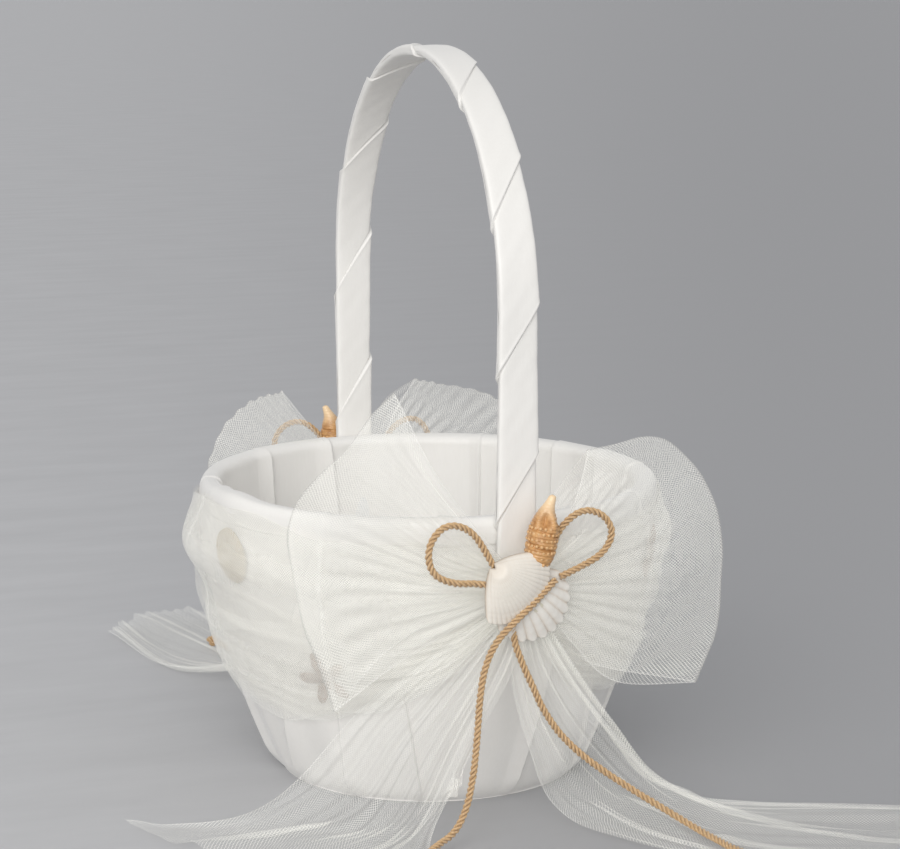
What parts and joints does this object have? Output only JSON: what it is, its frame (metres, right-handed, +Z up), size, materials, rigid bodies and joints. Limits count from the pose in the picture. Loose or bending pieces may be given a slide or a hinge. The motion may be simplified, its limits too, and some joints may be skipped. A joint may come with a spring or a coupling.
{
  "type": "flower girl basket",
  "caption": "Small round satin covered basket with a ribbon wound hoop handle, a tulle band, tulle bows, jute cord bows and sea shells.",
  "frame": {"origin": "centre of the underside of the base", "axes": "+Z up, the handle's hoop in the YZ plane, the front bow on -Y and the back bow on +Y"},
  "size_m": [0.33, 0.512, 0.314],
  "materials": {
    "satin_cover": "satin",
    "satin_lining": "satin",
    "satin_ribbon": "satin",
    "tulle": "open net",
    "jute": "twisted fibre",
    "wood": "raw split wood",
    "wadding": "soft",
    "steel": "bright",
    "sand_dollar": "dry and chalky",
    "starfish": "dry and grainy",
    "scallop_cream": "ribbed shell",
    "scallop_white": "ribbed shell",
    "spiral_shell": "beaded shell",
    "glue": "clear set glue"
  },
  "bodies": {
    "root": {"base_cover_disc": "satin_cover", "base_board": "wood", "bottom_pad": "satin_lining", "upright_staves": "wood", "inner_rim_hoop": "wood", "outer_rim_hoop": "wood", "middle_band": "wood", "wall_padding": "wadding", "rim_padding": "wadding", "satin_cover": "satin_cover", "satin_lining": "satin_lining", "handle_strip": "wood", "handle_ribbon_wrap": "satin_ribbon", "handle_tacks": "steel", "tulle_wrap": "tulle", "sand_dollar_front": "sand_dollar", "starfish_low_front": "starfish", "starfish_high_front": "starfish", "sand_dollar_back": "sand_dollar", "starfish_low_back": "starfish", "starfish_high_back": "starfish", "front_bow_loop_left": "tulle", "front_bow_tail_left": "tulle", "front_bow_loop_right": "tulle", "front_bow_tail_right": "tulle", "front_bow_knot": "tulle", "front_cord_loop_left": "jute", "front_cord_tail_left": "jute", "front_cord_end_left": "jute", "front_cord_loop_right": "jute", "front_cord_tail_right": "jute", "front_cord_end_right": "jute", "front_cord_knot": "jute", "front_upper_scallop": "scallop_cream", "front_lower_scallop": "scallop_white", "front_spiral_shell": "spiral_shell", "front_shell_glue": "glue", "back_bow_loop_left": "tulle", "back_bow_tail_left": "tulle", "back_bow_loop_right": "tulle", "back_bow_tail_right": "tulle", "back_bow_knot": "tulle", "back_cord_loop_left": "jute", "back_cord_tail_left": "jute", "back_cord_end_left": "jute", "back_cord_loop_right": "jute", "back_cord_tail_right": "jute", "back_cord_end_right": "jute", "back_cord_knot": "jute", "back_upper_scallop": "scallop_cream", "back_lower_scallop": "scallop_white", "back_spiral_shell": "spiral_shell", "back_shell_glue": "glue"}
  },
  "joints": []
}
